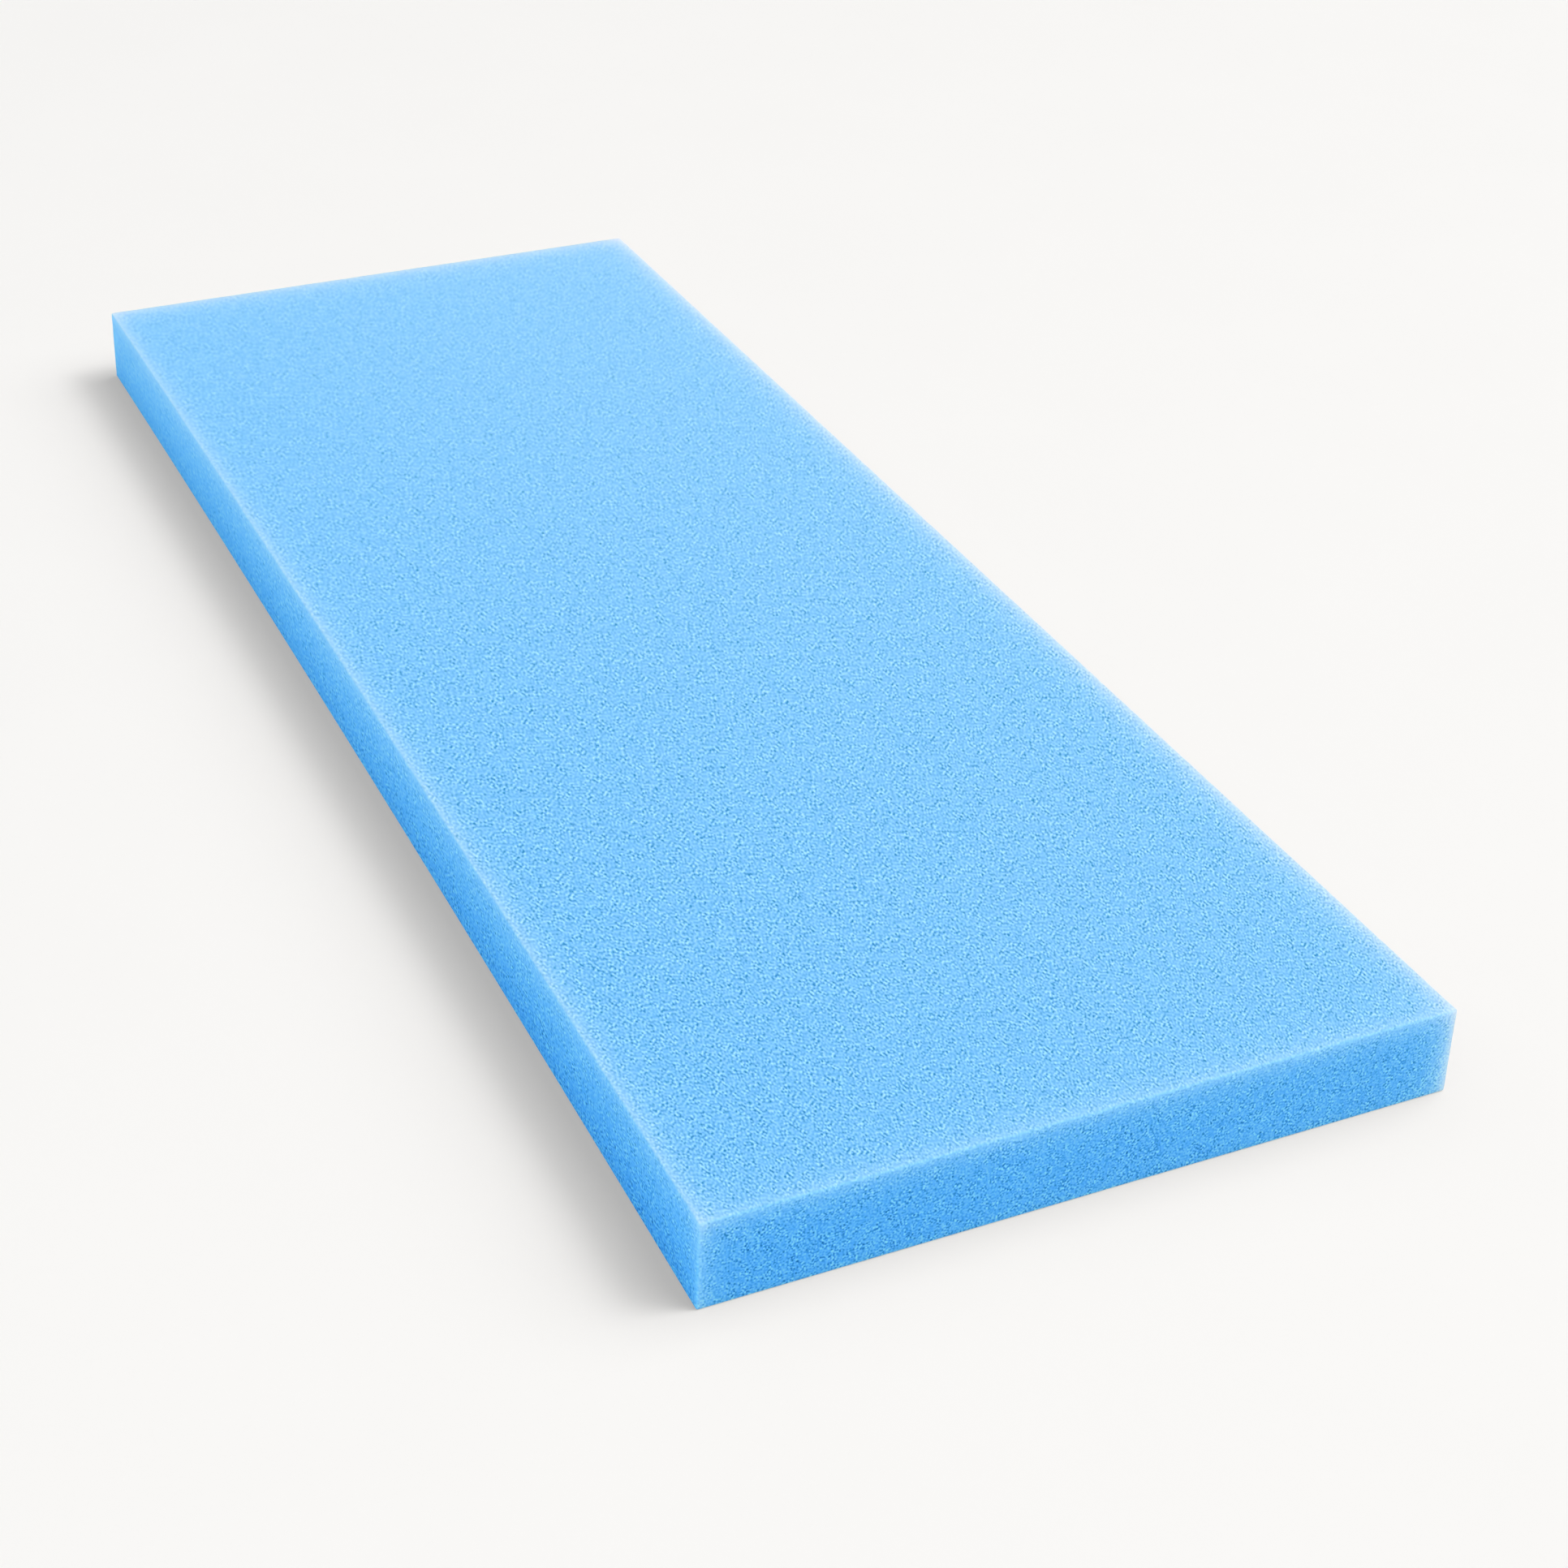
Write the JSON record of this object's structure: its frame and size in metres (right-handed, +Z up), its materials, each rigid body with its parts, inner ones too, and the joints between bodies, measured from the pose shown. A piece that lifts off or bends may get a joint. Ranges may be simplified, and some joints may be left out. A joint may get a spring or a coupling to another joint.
{
  "type": "polyurethane foam slab",
  "caption": "Flat rectangular slab of open-cell foam with softened cut edges, for padding, packing or bench work.",
  "frame": {"origin": "centre of the slab's box at the underside, on the surface that it rests on", "axes": "+Z up through the thickness, Y along the length, X across the width; the -X side is the one that draws in a little at mid length"},
  "size_m": [0.2105, 0.58, 0.026],
  "materials": {
    "foam": "matte"
  },
  "bodies": {
    "root": {"foam_slab": "foam"}
  },
  "joints": []
}
